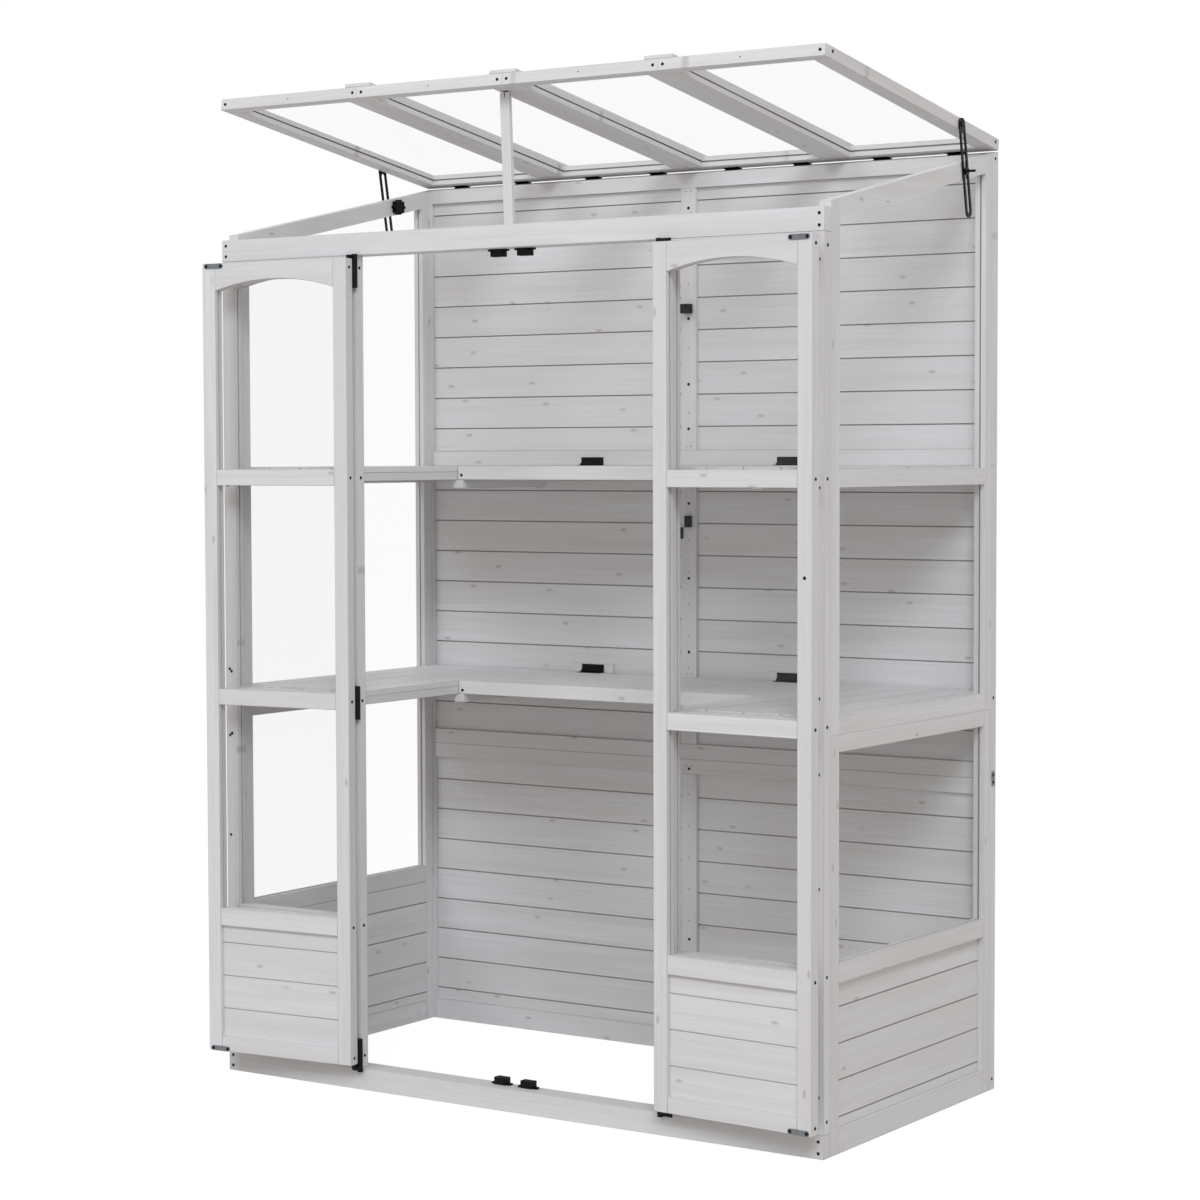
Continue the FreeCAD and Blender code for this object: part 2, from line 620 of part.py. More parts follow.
def folding_shelves():
    """The back shelf on each level, folded up on two hinges, with its wall leaves, blocks and catches."""
    wall_leaves, pins, blocks, catches = [], [], [], []
    catch_sizes = {"upper": (0, s.catch_width, s.catch_depth, s.catch_height),
                   "lower": (s.lower_catch_offset, s.lower_catch_width, s.lower_catch_depth,
                             s.lower_catch_height)}
    for level, top in SHELF_LEVELS:
        name = f"back_{level}_shelf"
        under = top - s.apron_height + s.running_gap
        rim_height = top - s.shelf_board_thickness - under
        back_edge = WALL_END - s.shelf_clearance
        width = 2 * BACK_SHELF_HALF
        pieces = [box(f"{name}_apron", (-BACK_SHELF_HALF, BACK_SHELF_START, under),
                      (width, s.apron_thickness, top - under))]
        run = back_edge - BACK_SHELF_START - s.apron_thickness
        board_start = BACK_SHELF_START + s.apron_thickness
        for place, x in (("left", -BACK_SHELF_HALF), ("right", BACK_SHELF_HALF - s.apron_thickness)):
            pieces.append(box(f"{name}_{place}_bar", (x, board_start, under),
                              (s.apron_thickness, run, rim_height)))
        board_width = (run - (SHELF_BOARDS - 1) * s.shelf_line) / SHELF_BOARDS
        for number in range(SHELF_BOARDS):
            y = board_start + number * (board_width + s.shelf_line)
            pieces.append(box(f"{name}_board_{number + 1}",
                              (-BACK_SHELF_HALF, y, top - s.shelf_board_thickness),
                              (width, board_width, s.shelf_board_thickness)))
        pieces.append(box(f"{name}_back_bar",
                          (-BACK_SHELF_HALF + s.apron_thickness, back_edge - s.apron_thickness, under),
                          (width - 2 * s.apron_thickness, s.apron_thickness, rim_height)))
        sub_part(name, pieces)

        axis_y, axis_z = fold_axis(top)
        shelf_leaves = []
        for side, sign in SIDES:
            x = sign * s.shelf_hinge_offset
            left = x - s.shelf_hinge_width / 2
            wall_plate = box(f"{name}_{side}_wall_plate", (left, WALL_END - s.leaf_thickness, axis_z),
                             (s.shelf_hinge_width, s.leaf_thickness, s.shelf_leaf_height))
            shelf_plate = box(f"{name}_{side}_shelf_plate", (left, axis_y - s.shelf_leaf_height, top),
                              (s.shelf_hinge_width, s.shelf_leaf_height, s.leaf_thickness))
            fixed_leaf, moving_leaf, pin = hinge(f"{name}_{side}_hinge", (x, axis_y, axis_z), "x",
                                                 s.shelf_knuckle_radius, s.shelf_hinge_width,
                                                 wall_plate, shelf_plate)
            wall_leaves.append(fixed_leaf)
            shelf_leaves.append(moving_leaf)
            pins.append(pin)
            if level == "lower":
                blocks.append(box(f"{name}_{side}_block", (x - s.hinge_block_width / 2, WALL_END, top),
                                  (s.hinge_block_width, s.batten_depth, s.hinge_block_height)))
        sub_part(f"{name}_hinge_leaves", shelf_leaves)
        catch_middle, catch_width, catch_depth, catch_height = catch_sizes[level]
        catch_foot = top + s.back_shelf_depth - catch_height / 2
        catches.append(box(f"{name}_catch",
                           (catch_middle - catch_width / 2, WALL_END - catch_depth, catch_foot),
                           (catch_width, catch_depth, catch_height)))
        if level == "lower":
            catches.append(box(f"{name}_keeper",
                               (-s.keeper_offset - s.keeper_width / 2, WALL_END - s.keeper_depth,
                                catch_foot - s.keeper_height),
                               (s.keeper_width, s.keeper_depth, s.keeper_height)))
    sub_part("shelf_hinge_wall_leaves", wall_leaves)
    sub_part("shelf_catches", catches)
    return pins, blocks


def doors():
    """Two doors with their hinges and strike plates, made shut and turned open about their hinge pins."""
    bottom = s.rail_height + s.door_foot_gap
    top = TOP_RAIL_BOTTOM - s.door_gap
    jamb_leaves, pins = [], []
    axis_y = FRONT - s.door_knuckle_radius - s.knuckle_stand_off
    leaf_y = FRONT - s.leaf_thickness
    half = s.door_hinge_height / 2
    hands = (("left", -1, s.left_pin_offset, s.left_door_angle, s.left_strap_length),
             ("right", 1, s.right_pin_offset, s.right_door_angle, s.right_strap_length))
    for side, sign, pin_offset, angle, strap_length in hands:
        jamb = sign * (OUTER - s.panel_width)
        axis_x = jamb - sign * pin_offset
        hinge_edge = jamb - sign * s.hinge_gap
        start = hinge_edge if sign < 0 else hinge_edge - s.door_width
        swing = placement_text(axis=Z_AXIS, angle=sign * angle, centre=(axis_x, axis_y, 0))
        members, planks, panes = glazed_leaf(f"{side}_door", start, s.door_width, FRONT, s.timber,
                                             bottom, top, bottom + s.foot_rail_height)
        sub_part(f"{side}_door_frame", members, swing)
        sub_part(f"{side}_door_boards", planks, swing)
        sub_part(f"{side}_door_panes", panes, swing)

        door_leaves = []
        heights = (("bottom", bottom - s.door_foot_hinge_reach + half), ("middle", s.middle_hinge_height),
                   ("top", top + s.door_hinge_reach - half))
        for place, middle in heights:
            name = f"{side}_{place}_hinge"
            low = middle - half
            outwards, inwards = (axis_x - s.door_leaf_depth, axis_x)[::-sign]
            jamb_plate = box(f"{name}_jamb_plate", (outwards, leaf_y, low),
                             (s.door_leaf_depth, s.leaf_thickness, s.door_hinge_height))
            plate_foot = bottom if place == "bottom" else low
            plate_head = top if place == "top" else low + s.door_hinge_height
            door_plate = box(f"{name}_door_plate", (inwards, leaf_y, plate_foot),
                             (s.door_leaf_depth, s.leaf_thickness, plate_head - plate_foot))
            if place != "middle":
                strap_x = hinge_edge if sign < 0 else hinge_edge - strap_length
                strap_height = s.foot_strap_height if place == "bottom" else s.strap_height
                strap_z = bottom - strap_height if place == "bottom" else top
                strap = box(f"{name}_strap", (strap_x, leaf_y, strap_z),
                            (strap_length, s.leaf_thickness + s.strap_width, strap_height))
                door_plate = fuse(f"{name}_strapped", [door_plate, strap])
            jamb_leaf, door_leaf, pin = hinge(name, (axis_x, axis_y, middle), "z", s.door_knuckle_radius,
                                              s.door_hinge_height, jamb_plate, door_plate)
            jamb_leaves.append(jamb_leaf)
            door_leaves.append(door_leaf)
            pins.append(pin)
        sub_part(f"{side}_door_hinge_leaves", door_leaves, swing)

        free_edge = hinge_edge - sign * s.door_width
        plate_start = free_edge - s.strike_inset - s.strike_width if sign < 0 else free_edge + s.strike_inset
        inner_face = FRONT + s.timber
        plates = []
        for place, z in (("bottom", bottom),
                         ("top", top - s.strike_thickness - s.strike_height)):
            name = f"{side}_{place}_strike"
            radius = s.strike_height / 2
            bar = box(f"{name}_bar", (plate_start + radius, inner_face, z),
                      (s.strike_width - s.strike_height, s.strike_thickness, s.strike_height))
            ends = [cylinder(f"{name}_{end}_end", (plate_start + x, inner_face, z + radius), "y", radius,
                             s.strike_thickness)
                    for end, x in (("near", radius), ("far", s.strike_width - radius))]
            plates.append(fuse(name, [bar] + ends))
        sub_part(f"{side}_door_strike_plates", plates, swing)
    sub_part("door_hinge_jamb_leaves", jamb_leaves)
    return pins


def magnetic_catches():
    """Four magnetic catches behind the doors' free corners, two on each front rail."""
    catches = []
    face = FRONT + s.timber + s.strike_thickness + s.running_gap
    for side, sign in SIDES:
        middle = sign * s.magnet_offset
        for place, z, ear_z in (("bottom", s.rail_height, s.rail_height),
                                ("top", TOP_RAIL_BOTTOM - s.magnet_height,
                                 TOP_RAIL_BOTTOM - s.magnet_ear)):
            name = f"{side}_{place}_magnet"
            body = box(f"{name}_body", (middle - s.magnet_width / 2, face, z),
                       (s.magnet_width, s.magnet_depth, s.magnet_height))
            ear_y = face + (s.magnet_depth - s.magnet_ear_depth) / 2
            ears = box(f"{name}_ears", (middle - s.magnet_ears / 2, ear_y, ear_z),
                       (s.magnet_ears, s.magnet_ear_depth, s.magnet_ear))
            catches.append(fuse(name, [body, ears]))
    sub_part("magnetic_catches", catches)


# The lid turns about the pins of its hinges. Its pieces are laid out from that line: Y along the lid
# towards the back and Z square to it. Shut, its underside lies as far above the pins as the walls'
# sloped tops lie below them, and the hinge leaves are let into both.
LID_AXIS_Y = BACK + s.lid_knuckle_radius + s.running_gap
ROOF_RISE = (s.back_height - s.eaves_height) / s.depth
LID_AXIS_Z = (s.back_height + (s.lid_knuckle_radius + s.running_gap) * ROOF_RISE
              + s.lid_lift / cosine(SLOPE))
DEGREE = Size("1 deg", 1)
LID_TILT = SLOPE - s.lid_angle * DEGREE
LID_PLACE = placement_text((0, LID_AXIS_Y, LID_AXIS_Z), X_AXIS, LID_TILT)
ROOF_PLACE = placement_text((0, LID_AXIS_Y, LID_AXIS_Z), X_AXIS, SLOPE)
LID_BACK = -(s.lid_knuckle_radius + s.running_gap)
LID_FRONT = LID_BACK - s.lid_length
LID_TOP = s.lid_lift + s.lid_thickness
LEAF_REACH = s.leaf_gap / 2 + s.leaf_thickness
PANELS = 4
PANEL_WIDTH = s.width / PANELS
LID_LEFT = -OUTER


def lid_hinge_places(number):
    """The two hinges of a lid panel: a name, and the middle of the hinge along X."""
    middle = LID_LEFT + number * PANEL_WIDTH + PANEL_WIDTH / 2
    return [(f"lid_panel_{number + 1}_{hand}", middle + sign * s.lid_hinge_offset) for hand, sign in SIDES]


def leaf_pocket(name, x, low):
    """The room for a lid hinge leaf, a little wider and longer than the leaf."""
    gap = s.running_gap
    return box(f"{name}_pocket", (x - s.lid_hinge_width / 2 - gap, -s.lid_leaf_length - gap, low),
               (s.lid_hinge_width + 2 * gap, s.lid_leaf_length + gap, LEAF_REACH))


def wall_leaf_pockets():
    """The pockets for all lid hinge leaves in the top of the back wall."""
    pockets = doc.addObject("Part::Compound", "wall_leaf_pockets")
    pockets.Links = [leaf_pocket(f"{name}_wall", x, -LEAF_REACH)
                     for number in range(PANELS) for name, x in lid_hinge_places(number)]
    pockets.setExpression("Placement", ROOF_PLACE)
    return pockets


def lid_point(along, above):
    """Where a point of the lid lies in the room: its Y and Z."""
    return (LID_AXIS_Y + along * cosine(LID_TILT) - above * sine(LID_TILT),
            LID_AXIS_Z + along * sine(LID_TILT) + above * cosine(LID_TILT))


def lid():
    """Four glazed panels side by side, strips over their seams, and eight hinges along the back."""
    panes, lid_leaves, wall_leaves, pins = [], [], [], []
    opening = PANEL_WIDTH - 2 * s.lid_side_member
    side_start = LID_FRONT + s.lid_front_member
    run = s.lid_length - s.lid_front_member - s.lid_back_member
    for number in range(PANELS):
        name = f"lid_panel_{number + 1}"
        start = LID_LEFT + number * PANEL_WIDTH
        inside = start + s.lid_side_member
        pane = box(f"{name}_pane", (inside - s.pane_groove, side_start - s.pane_groove,
                                    s.lid_lift + s.lid_pane_height),
                   (opening + 2 * s.pane_groove, run + 2 * s.pane_groove, s.pane_thickness))
        panes.append(pane)
        pockets = [leaf_pocket(hinge_name, x, size(0)) for hinge_name, x in lid_hinge_places(number)]
        members = []
        for side, x in (("left", start), ("right", inside + opening)):
            bar = box(f"{name}_{side}_bar", (x, side_start, s.lid_lift),
                      (s.lid_side_member, run, s.lid_thickness))
            members.append(cut(f"{name}_{side}_member", bar, pane))
        for place, y, width, tools in (("front", LID_FRONT, s.lid_front_member, [pane]),
                                       ("back", LID_BACK - s.lid_back_member, s.lid_back_member,
                                        [pane] + pockets)):
            bar = box(f"{name}_{place}_bar", (start, y, s.lid_lift), (PANEL_WIDTH, width, s.lid_thickness))
            members.append(cut(f"{name}_{place}_member", bar, *tools))
        sub_part(name, members, LID_PLACE)

        for hinge_name, x in lid_hinge_places(number):
            left = x - s.lid_hinge_width / 2
            reach = (s.lid_hinge_width, s.lid_leaf_length, s.leaf_thickness)
            wall_plate = box(f"{hinge_name}_wall_plate", (left, -s.lid_leaf_length, -LEAF_REACH), reach)
            lid_plate = box(f"{hinge_name}_lid_plate", (left, -s.lid_leaf_length, s.leaf_gap / 2), reach)
            fixed_leaf, moving_leaf, pin = hinge(f"{hinge_name}_hinge", (x, size(0), size(0)), "x",
                                                 s.lid_knuckle_radius, s.lid_hinge_width,
                                                 wall_plate, lid_plate)
            wall_leaves.append(fixed_leaf)
            lid_leaves.append(moving_leaf)
            pins.append(pin)
    sub_part("lid_panes", panes, LID_PLACE)
    strips = []
    for seam in range(1, PANELS):
        middle = LID_LEFT + seam * PANEL_WIDTH
        strips.append(box(f"cover_strip_{seam}", (middle - s.cover_strip_width / 2, LID_FRONT, LID_TOP),
                          (s.cover_strip_width, s.lid_length, s.cover_strip_thickness)))
    sub_part("lid_cover_strips", strips, LID_PLACE)
    sub_part("lid_hinge_leaves", lid_leaves, LID_PLACE)
    sub_part("lid_hinge_wall_leaves", wall_leaves, ROOF_PLACE)
    turned_pins = doc.addObject("Part::Compound", "lid_hinge_pins")
    turned_pins.Links = pins
    turned_pins.setExpression("Placement", ROOF_PLACE)

    heads = []
    for seam in range(PANELS + 1):
        for side, sign in SIDES:
            x = LID_LEFT + seam * PANEL_WIDTH + sign * s.screw_inset
            if abs(x.value) < s.width.value / 2:
                heads.append(screw(f"lid_screw_{seam + 1}_{side}",
                                   (x, LID_FRONT, s.lid_lift + s.lid_thickness / 2), "y"))
    sub_part("lid_screws", heads, LID_PLACE)
    return [turned_pins]


PIVOT_UP = s.lid_lift + s.lid_thickness / 2
KNOB_LOBES = 8


def lid_stays():
    """A slotted stay outside each side wall, its pivot on the lid, its bolt, knob and washer."""
    pivot_y, pivot_z = lid_point(-s.stay_pivot_reach, PIVOT_UP)
    bolt_y, bolt_z = bolt_point()
    lean = angle_of(bolt_y - pivot_y, pivot_z - bolt_z)
    stay_place = placement_text((0, pivot_y, pivot_z), X_AXIS, lean)
    half = s.stay_width / 2
    washers, pivots = [], []
    for side, sign in SIDES:
        name = f"{side}_lid_stay"
        near = OUTER + s.stay_gap
        far = near + s.stay_thickness
        x = -far if sign < 0 else near
        foot = -(s.stay_length - s.stay_width)
        flat = box(f"{name}_flat", (x, -half, foot), (s.stay_thickness, s.stay_width, -foot))
        ends = [cylinder(f"{name}_{end}_end", (x, size(0), z), "x", half, s.stay_thickness)
                for end, z in (("top", size(0)), ("foot", foot))]
        blank = fuse(f"{name}_blank", [flat] + ends)
        slot_half = s.stay_slot_width / 2
        slot_top = half - s.stay_head - slot_half
        slot_foot = foot - half + s.stay_foot + slot_half
        slot = box(f"{name}_slot", (x, -slot_half, slot_foot),
                   (s.stay_thickness, s.stay_slot_width, slot_top - slot_foot))
        slot_ends = [cylinder(f"{name}_slot_{end}", (x, size(0), z), "x", slot_half, s.stay_thickness)
                     for end, z in (("top", slot_top), ("foot", slot_foot))]
        slot_tool = fuse(f"{name}_slot_round", [slot] + slot_ends)
        eye = cylinder(f"{name}_eye", (x, size(0), size(0)), "x", s.stay_pivot_radius + s.pin_clearance,
                       s.stay_thickness)
        sub_part(name, [cut(f"{name}_plate", blank, slot_tool, eye)], stay_place)

        shank_x = -far - s.running_gap if sign < 0 else OUTER
        shank_length = far + s.running_gap - OUTER
        shank = cylinder(f"{name}_shank", (shank_x, -s.stay_pivot_reach, PIVOT_UP), "x",
                         s.stay_pivot_radius, shank_length)
        head_x = shank_x - s.pivot_head_thickness if sign < 0 else shank_x + shank_length
        head = cylinder(f"{name}_head", (head_x, -s.stay_pivot_reach, PIVOT_UP), "x",
                        s.stay_pivot_radius * 2, s.pivot_head_thickness)
        pivots.append(fuse(f"{name}_pivot", [shank, head]))

        end = far + s.bolt_end
        bolt_length = end - INNER + s.knob_thickness / 2
        bolt_x = -end if sign < 0 else INNER - s.knob_thickness / 2
        bolt = cylinder(f"{side}_bolt", (bolt_x, bolt_y, bolt_z), "x", s.bolt_radius, bolt_length)
        knob_x = -INNER + s.running_gap if sign < 0 else INNER - s.running_gap - s.knob_thickness
        knob = [bolt, cylinder(f"{side}_knob_core", (knob_x, bolt_y, bolt_z), "x", s.knob_radius,
                               s.knob_thickness)]
        for lobe in range(KNOB_LOBES):
            turn = 2 * math.pi * lobe / KNOB_LOBES
            knob.append(cylinder(f"{side}_knob_lobe_{lobe + 1}",
                                 (knob_x, bolt_y + s.knob_radius * math.cos(turn),
                                  bolt_z + s.knob_radius * math.sin(turn)),
                                 "x", s.knob_lobe_radius, s.knob_thickness))
        sub_part(f"{side}_stay_knob", [fuse(f"{side}_knob", knob)])
        washer_x = -far - s.running_gap - s.stay_thickness if sign < 0 else far + s.running_gap
        washer = cylinder(f"{side}_washer_disc", (washer_x, bolt_y, bolt_z), "x", s.nut_width / 2,
                          s.stay_thickness)
        washer_hole = cylinder(f"{side}_washer_hole", (washer_x, bolt_y, bolt_z), "x",
                               s.bolt_radius + s.pin_clearance, s.stay_thickness)
        washers.append(cut(f"{side}_washer", washer, washer_hole))
    sub_part("stay_nuts", washers)
    return pivots


def lid_prop():
    """The stick under the lid's middle seam: slotted at its top, it hangs from a tongue on the lid."""
    half = s.prop_thickness / 2
    above = s.lid_lift - s.prop_top_gap - half
    along = (FRONT + s.prop_setback - LID_AXIS_Y + above * sine(LID_TILT)) / cosine(LID_TILT)
    pivot_y, pivot_z = lid_point(along, above)
    lean = placement_text((0, pivot_y, pivot_z), X_AXIS, s.prop_lean_angle)
    left = -s.prop_offset - s.prop_width / 2
    stick = box("prop_stick", (left, -half, half - s.prop_length),
                (s.prop_width, s.prop_thickness, s.prop_length))
    hole = cylinder("prop_hole", (left, size(0), size(0)), "x", s.pin_radius + s.pin_clearance,
                    s.prop_width)
    slot_width = s.tongue_thickness + 2 * s.running_gap
    slot = box("prop_slot", (-s.prop_offset - slot_width / 2, -half, -half - s.running_gap),
               (slot_width, s.prop_thickness, s.prop_thickness + s.running_gap))
    sub_part("lid_prop", [cut("prop_drilled", stick, hole, slot)], lean)

    tongue_left = -s.prop_offset - s.tongue_thickness / 2
    radius = s.pin_radius * 2
    neck = box("prop_neck", (tongue_left, along - radius, above),
               (s.tongue_thickness, radius * 2, s.lid_lift - above))
    tip = cylinder("prop_tongue_tip", (tongue_left, along, above), "x", radius, s.tongue_thickness)
    pin = cylinder("prop_pin", (left, along, above), "x", s.pin_radius, s.prop_width)
    return [fuse("prop_tongue", [neck, tip, pin])]


def wall_fixings():
    """Screw heads on the front and the back wall's ends, and the plates that join the back panels."""
    heads, plates = [], []
    stile_heights = [s.rail_height + s.strip_screw_rise, s.low_pane_screw,
                     s.middle_rail_bottom - s.strip_screw_rise, s.middle_rail_bottom + s.strip_screw_rise,
                     s.high_rail_bottom, TOP_RAIL_BOTTOM - s.top_strip_screw_drop]
    for side, sign in SIDES:
        x = sign * (OUTER - s.screw_inset)
        for rail, low in (("bottom", size(0)), ("top", TOP_RAIL_BOTTOM)):
            for place, z in (("low", low + s.screw_inset),
                             ("high", low + s.screw_inset + s.screw_spacing)):
                heads.append(screw(f"{side}_{rail}_{place}_screw", (x, FRONT, z), "y"))
        for number, z in enumerate(stile_heights, start=1):
            heads.append(screw(f"{side}_panel_screw_{number}", (x, FRONT, z), "y"))
        y = BACK - s.back_timber / 2
        for place, z in (("foot", s.rail_height / 2), ("middle", s.middle_rail_bottom + s.screw_spacing),
                         ("head", s.back_height - s.head_screw_drop)):
            heads.append(screw(f"{side}_back_{place}_screw", (sign * OUTER, y, z), "x", sign))
        plate_x = -OUTER - s.leaf_thickness if sign < 0 else OUTER
        plates.append(box(f"{side}_joining_plate",
                          (plate_x, y - s.plate_width / 2, s.lower_joint_height - s.plate_length / 2),
                          (s.leaf_thickness, s.plate_width, s.plate_length)))
        for place, rise in (("low", -s.plate_length / 4), ("high", s.plate_length / 4)):
            heads.append(screw(f"{side}_plate_{place}_screw",
                               (sign * (OUTER + s.leaf_thickness), y, s.lower_joint_height + rise),
                               "x", sign))
    sub_part("wall_screws", heads)
    sub_part("joining_plates", plates)


def check_and_write():
    """Recompute, refuse any failed object, and write each sub-part to its own file."""
    doc.recompute()
    for item in doc.Objects:
        if "Invalid" in item.State or "Error" in item.State:
            raise RuntimeError(f"{item.Label} failed: {item.State}")
    for part in SUB_PARTS:
        if part.Shape.isNull() or not part.Shape.isValid():
            raise RuntimeError(f"{part.Label} has no valid shape")
    os.makedirs("parts", exist_ok=True)
    for part in SUB_PARTS:
        part.Shape.exportStep(f"parts/{part.Label}.step")
    print(len(SUB_PARTS), "sub-parts,", sum(len(part.Shape.Solids) for part in SUB_PARTS), "solids")


front_rails()
front_panels()
side_walls()
back_wall()
shelf_cleats = side_shelves()
shelf_pins, shelf_blocks = folding_shelves()
sub_part("shelf_cleats", shelf_cleats + shelf_blocks)
hinge_pins = shelf_pins + doors() + lid()
sub_part("hinge_pins", hinge_pins)
magnetic_catches()
lid_pivots = lid_stays() + lid_prop()
sub_part("lid_pivots", lid_pivots, LID_PLACE)
wall_fixings()
check_and_write()
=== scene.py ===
# %% [markdown]
# # A white wooden mini greenhouse
#
# The real object is a lean-to greenhouse of planed softwood sticks and boards under a thin white glaze,
# with clear sheets in grooves, black fittings and a few galvanised plates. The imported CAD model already
# has every stick at its real size, so this lesson is about finish: softened edges, grain that follows
# each stick, clear panes, coated metal, and the small screws and nails that hold it together.

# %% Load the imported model
import json
import math
import random

import bmesh
import bpy
from mathutils import Matrix, Vector


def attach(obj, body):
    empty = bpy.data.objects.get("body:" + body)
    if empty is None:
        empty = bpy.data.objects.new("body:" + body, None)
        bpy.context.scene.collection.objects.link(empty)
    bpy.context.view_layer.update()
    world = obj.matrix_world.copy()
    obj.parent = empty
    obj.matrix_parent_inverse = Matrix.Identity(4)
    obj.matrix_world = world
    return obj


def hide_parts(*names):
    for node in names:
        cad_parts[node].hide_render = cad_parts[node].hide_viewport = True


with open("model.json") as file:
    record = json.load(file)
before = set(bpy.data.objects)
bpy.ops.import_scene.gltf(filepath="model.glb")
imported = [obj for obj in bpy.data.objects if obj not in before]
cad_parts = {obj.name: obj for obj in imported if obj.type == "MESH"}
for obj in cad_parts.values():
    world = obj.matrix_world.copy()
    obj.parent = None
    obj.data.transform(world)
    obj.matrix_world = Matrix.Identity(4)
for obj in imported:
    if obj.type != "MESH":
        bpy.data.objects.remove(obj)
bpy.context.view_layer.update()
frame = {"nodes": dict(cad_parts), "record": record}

# %% [markdown]
# ## Camera
#
# The photograph was taken from the front right, from chest height and looking a little down, with a long
# lens. The place, the aim and the focal length come from matching corners of known size, so they are
# plain numbers here. The small roll, in radians, is a turn about the camera's own viewing axis.

# %% Camera
CAMERA_PLACE = Vector((3.2706, -4.5768, 1.2976))
CAMERA_PITCH = math.radians(-2.88)
CAMERA_YAW = math.radians(33.70)
CAMERA_ROLL = -0.0027
FOCAL_LENGTH = 85.76
SENSOR_WIDTH = 36
FARTHEST_SEEN = 100

camera = bpy.data.objects.new("camera", bpy.data.cameras.new("camera"))
camera.data.sensor_width = SENSOR_WIDTH
camera.data.lens = FOCAL_LENGTH
camera.data.clip_end = FARTHEST_SEEN
aim = Matrix.Rotation(CAMERA_YAW, 4, "Z") @ Matrix.Rotation(math.pi / 2 + CAMERA_PITCH, 4, "X")
camera.matrix_world = Matrix.Translation(CAMERA_PLACE) @ aim @ Matrix.Rotation(CAMERA_ROLL, 4, "Z")
bpy.context.scene.collection.objects.link(camera)
bpy.context.scene.camera = camera
print("camera stands", round(CAMERA_PLACE.length, 2), "m from the middle of the front's foot")

# %% [markdown]
# ## Colours and nodes
#
# A colour picked from a screen is sRGB, but shaders add light in linear numbers, so one function turns a
# hex colour into linear. A second small function adds any node: its settings are keywords, and each entry
# of `inputs` is either a number for the socket or another node's output to link.

# %% Helpers for materials
def linear(hex_colour):
    """A hex sRGB colour as linear RGBA."""
    levels = [int(hex_colour[i:i + 2], 16) / 255 for i in (1, 3, 5)]
    return tuple(v / 12.92 if v <= 0.04045 else ((v + 0.055) / 1.055) ** 2.4 for v in levels) + (1,)


def add(tree, kind, inputs=None, **settings):
    """Add one node to a tree, set it up and link it."""
    made = tree.nodes.new("ShaderNode" + kind)
    for name, value in settings.items():
        setattr(made, name, value)
    for key, value in (inputs or {}).items():
        if isinstance(value, bpy.types.NodeSocket):
            tree.links.new(value, made.inputs[key])
        else:
            made.inputs[key].default_value = value
    return made


def material(name):
    """A new material, its node tree, emptied, and its output node."""
    made = bpy.data.materials.new(name)
    made.use_nodes = True
    made.node_tree.nodes.clear()
    return made, made.node_tree, add(made.node_tree, "OutputMaterial")


print("white at full level:", [round(v, 3) for v in linear("#FFFFFF")])

# %% [markdown]
# ## Studio
#
# The photograph has a pure white surround. The floor and the world give that white only to what the
# camera and reflections see; the light that falls on the object is softer and plainer. For that light the
# floor is ordinary pale paper. For the camera most of it glows and the rest is still paper, so that it
# reaches white and keeps a trace of the soft shadow under the object.

# %% Helpers for the studio and for every new piece
def seen_rays(tree):
    """1 for the rays that show the surround directly, in metal or through glass, and 0 for plain light."""
    path = add(tree, "LightPath")
    seen = add(tree, "Math", {0: path.outputs["Is Camera Ray"], 1: path.outputs["Is Glossy Ray"]},
               operation="MAXIMUM")
    seen = add(tree, "Math", {0: seen.outputs[0], 1: path.outputs["Is Transmission Ray"]},
               operation="MAXIMUM")
    return seen.outputs[0]


def linked_object(bm, name, paint):
    """A finished bmesh as a linked object with one material."""
    data = bpy.data.meshes.new(name)
    bm.to_mesh(data)
    bm.free()
    data.materials.append(paint)
    made = bpy.data.objects.new(name, data)
    bpy.context.scene.collection.objects.link(made)
    return made


print("helpers for the studio and the pieces ready")

# %% Floor
FLOOR_HALF_WIDTH = 30
GLOWING_PART = 0.875
GLOW_LEVEL = 1.096

floor_paint, tree, out = material("matt_studio_floor")
lift = add(tree, "Math", {0: seen_rays(tree), 1: GLOWING_PART}, operation="MULTIPLY")
own_light = add(tree, "Emission", {"Strength": GLOW_LEVEL})
paper = add(tree, "BsdfDiffuse", {"Color": linear("#CFCBC8")})
both = add(tree, "MixShader", {0: lift.outputs[0], 1: paper.outputs[0], 2: own_light.outputs[0]})
tree.links.new(both.outputs[0], out.inputs["Surface"])

floor_mesh = bmesh.new()
bmesh.ops.create_grid(floor_mesh, x_segments=1, y_segments=1, size=FLOOR_HALF_WIDTH)
floor = linked_object(floor_mesh, "studio_floor", floor_paint)
print("floor is", round(floor.dimensions.x), "m across")

# %% World
ROOM_LEVEL = 0.55

world = bpy.data.worlds.new("studio")
bpy.context.scene.world = world
world.use_nodes = True
tree = world.node_tree
tree.nodes.clear()
seen = seen_rays(tree)
strength = add(tree, "MapRange", {"Value": seen, "To Min": ROOM_LEVEL, "To Max": 1.0})
# The room's own light is a touch warm; only what is seen of it stays plain white.
room = add(tree, "Mix", {0: seen, 6: linear("#FFF9F4"), 7: linear("#FFFFFF")}, data_type="RGBA")
sky = add(tree, "Background", {"Color": room.outputs[2], "Strength": strength.outputs[0]})
add(tree, "OutputWorld", {"Surface": sky.outputs[0]})
print("the room lights the object at", ROOM_LEVEL, "of the white that is seen")

# %% [markdown]
# ## Lamps
#
# Two broad soft lamps stand high in front. The stronger one is on the right, as the shadows of the shelves
# on the back wall show. Both are some twenty metres off, because light from so far is even from lid to
# foot.

# %% Lamps
LIT_PLACE = (0, 0.3, 1.0)
LAMP_WIDTH = 6.6
LAMP_COLOUR = "#EFF6FF"


